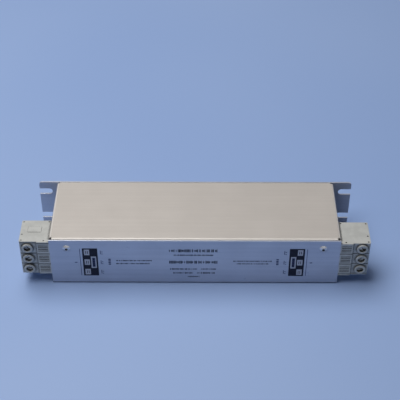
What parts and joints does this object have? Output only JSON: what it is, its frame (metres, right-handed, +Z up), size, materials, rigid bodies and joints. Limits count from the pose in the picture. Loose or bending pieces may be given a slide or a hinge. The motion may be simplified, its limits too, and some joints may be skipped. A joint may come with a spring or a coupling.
{
  "type": "emi line filter",
  "caption": "Flat sheet-steel mains filter with a slotted mounting plate, screw-clamp poles at each end and a choke, capacitors and board inside.",
  "frame": {"origin": "under the middle of the part, on the broad face that it lies on", "axes": "+X along the case from the left block to the right block, +Y from the label panel to the mounting plate, +Z up from the floor to the cover"},
  "size_m": [0.2652, 0.0712, 0.045],
  "materials": {
    "case_steel": "satin",
    "cover_steel": "satin",
    "rivet_alloy": "satin",
    "terminal_plastic": "matte",
    "screw_steel": "satin",
    "cage_steel": "satin",
    "bar_copper": "satin",
    "stud_steel": "satin",
    "liner_film": "matte",
    "board_laminate": "satin",
    "choke_plastic": "matte",
    "core_alloy": "matte",
    "winding_copper": "gloss",
    "x_cap_plastic": "satin",
    "y_cap_plastic": "satin",
    "resistor_coat": "satin"
  },
  "bodies": {
    "case": {"chassis": "case_steel", "cover": "cover_steel", "cover_rivets": "rivet_alloy", "terminal_left_1": "terminal_plastic", "terminal_left_2": "terminal_plastic", "terminal_left_3": "terminal_plastic", "terminal_right_1": "terminal_plastic", "terminal_right_2": "terminal_plastic", "terminal_right_3": "terminal_plastic", "end_plate_left": "terminal_plastic", "end_plate_right": "terminal_plastic", "current_bar_left_1": "bar_copper", "current_bar_left_2": "bar_copper", "current_bar_left_3": "bar_copper", "current_bar_right_1": "bar_copper", "current_bar_right_2": "bar_copper", "current_bar_right_3": "bar_copper", "earth_studs": "stud_steel", "earth_washers": "stud_steel", "earth_nuts": "stud_steel", "insulating_liner": "liner_film", "board_standoffs": "stud_steel", "circuit_board": "board_laminate", "board_screws": "stud_steel", "choke_base": "choke_plastic", "core_cup": "choke_plastic", "core_lid": "choke_plastic", "choke_core": "core_alloy", "winding_1": "winding_copper", "winding_2": "winding_copper", "winding_3": "winding_copper", "x_capacitors_left": "x_cap_plastic", "x_capacitors_right": "x_cap_plastic", "y_capacitor_left": "y_cap_plastic", "y_capacitor_right": "y_cap_plastic", "discharge_resistors": "resistor_coat"},
    "clamp_screw_left_1": {"clamp_screw_left_1": "screw_steel"},
    "clamp_cage_left_1": {"clamp_cage_left_1": "cage_steel"},
    "clamp_screw_left_2": {"clamp_screw_left_2": "screw_steel"},
    "clamp_cage_left_2": {"clamp_cage_left_2": "cage_steel"},
    "clamp_screw_left_3": {"clamp_screw_left_3": "screw_steel"},
    "clamp_cage_left_3": {"clamp_cage_left_3": "cage_steel"},
    "clamp_screw_right_1": {"clamp_screw_right_1": "screw_steel"},
    "clamp_cage_right_1": {"clamp_cage_right_1": "cage_steel"},
    "clamp_screw_right_2": {"clamp_screw_right_2": "screw_steel"},
    "clamp_cage_right_2": {"clamp_cage_right_2": "cage_steel"},
    "clamp_screw_right_3": {"clamp_screw_right_3": "screw_steel"},
    "clamp_cage_right_3": {"clamp_cage_right_3": "cage_steel"}
  },
  "joints": [
    {"name": "screw_left_1_turn", "type": "hinge", "parent": "case", "child": "clamp_screw_left_1", "pos_m": [-0.1266, -0.0317, 0.01525], "axis": [0, 1, 0], "range_deg": [0, 2880]},
    {"name": "cage_left_1_lift", "type": "slide", "parent": "case", "child": "clamp_cage_left_1", "axis": [0, -1, 0], "range_m": [0, 0.0056]},
    {"name": "screw_left_2_turn", "type": "hinge", "parent": "case", "child": "clamp_screw_left_2", "pos_m": [-0.1266, -0.0317, 0.02575], "axis": [0, 1, 0], "range_deg": [0, 2880]},
    {"name": "cage_left_2_lift", "type": "slide", "parent": "case", "child": "clamp_cage_left_2", "axis": [0, -1, 0], "range_m": [0, 0.0056]},
    {"name": "screw_left_3_turn", "type": "hinge", "parent": "case", "child": "clamp_screw_left_3", "pos_m": [-0.1266, -0.0317, 0.03625], "axis": [0, 1, 0], "range_deg": [0, 2880]},
    {"name": "cage_left_3_lift", "type": "slide", "parent": "case", "child": "clamp_cage_left_3", "axis": [0, -1, 0], "range_m": [0, 0.0056]},
    {"name": "screw_right_1_turn", "type": "hinge", "parent": "case", "child": "clamp_screw_right_1", "pos_m": [0.1266, -0.0317, 0.01525], "axis": [0, 1, 0], "range_deg": [0, 2880]},
    {"name": "cage_right_1_lift", "type": "slide", "parent": "case", "child": "clamp_cage_right_1", "axis": [0, -1, 0], "range_m": [0, 0.0056]},
    {"name": "screw_right_2_turn", "type": "hinge", "parent": "case", "child": "clamp_screw_right_2", "pos_m": [0.1266, -0.0317, 0.02575], "axis": [0, 1, 0], "range_deg": [0, 2880]},
    {"name": "cage_right_2_lift", "type": "slide", "parent": "case", "child": "clamp_cage_right_2", "axis": [0, -1, 0], "range_m": [0, 0.0056]},
    {"name": "screw_right_3_turn", "type": "hinge", "parent": "case", "child": "clamp_screw_right_3", "pos_m": [0.1266, -0.0317, 0.03625], "axis": [0, 1, 0], "range_deg": [0, 2880]},
    {"name": "cage_right_3_lift", "type": "slide", "parent": "case", "child": "clamp_cage_right_3", "axis": [0, -1, 0], "range_m": [0, 0.0056]}
  ],
  "couplings": [
    {"joint": "screw_left_1_turn", "follows": "cage_left_1_lift", "rad_per_m": 8975.9},
    {"joint": "screw_left_2_turn", "follows": "cage_left_2_lift", "rad_per_m": 8975.9},
    {"joint": "screw_left_3_turn", "follows": "cage_left_3_lift", "rad_per_m": 8975.9},
    {"joint": "screw_right_1_turn", "follows": "cage_right_1_lift", "rad_per_m": 8975.9},
    {"joint": "screw_right_2_turn", "follows": "cage_right_2_lift", "rad_per_m": 8975.9},
    {"joint": "screw_right_3_turn", "follows": "cage_right_3_lift", "rad_per_m": 8975.9}
  ]
}
